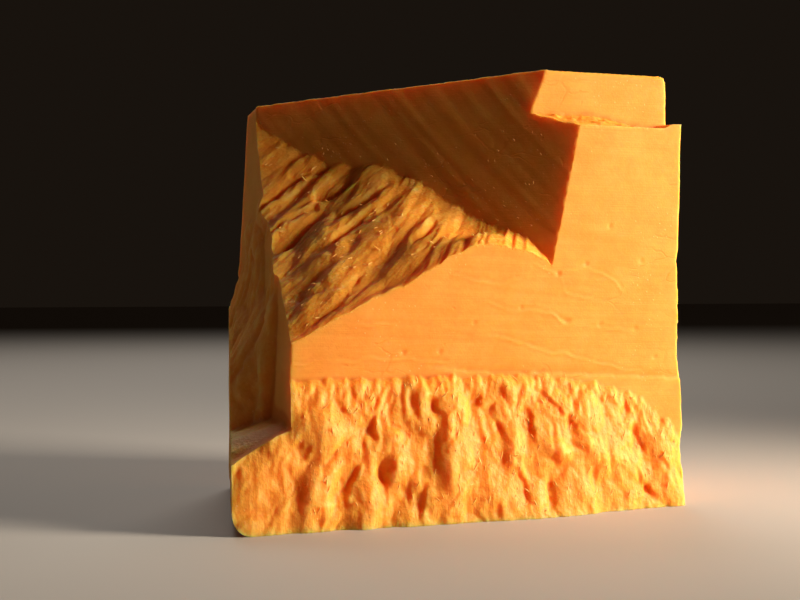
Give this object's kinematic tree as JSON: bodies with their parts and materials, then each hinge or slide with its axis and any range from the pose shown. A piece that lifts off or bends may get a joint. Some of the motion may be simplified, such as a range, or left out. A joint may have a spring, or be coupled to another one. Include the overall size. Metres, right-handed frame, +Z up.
{
  "type": "block of cheddar cheese",
  "caption": "Large block of cheddar cut with a wire and snapped by hand, with smooth cut faces and torn, craggy faces.",
  "frame": {"origin": "centre of the underside of the block's bounding box", "axes": "+Z up, front with the smooth cut face and the torn foot towards -Y, right side towards +X"},
  "size_m": [0.3071, 0.188, 0.286],
  "materials": {
    "cheddar": "waxy cheese: smooth where the wire cut it, craggy and fibrous where it was torn"
  },
  "bodies": {
    "root": {"cheddar": "cheddar"}
  },
  "joints": []
}
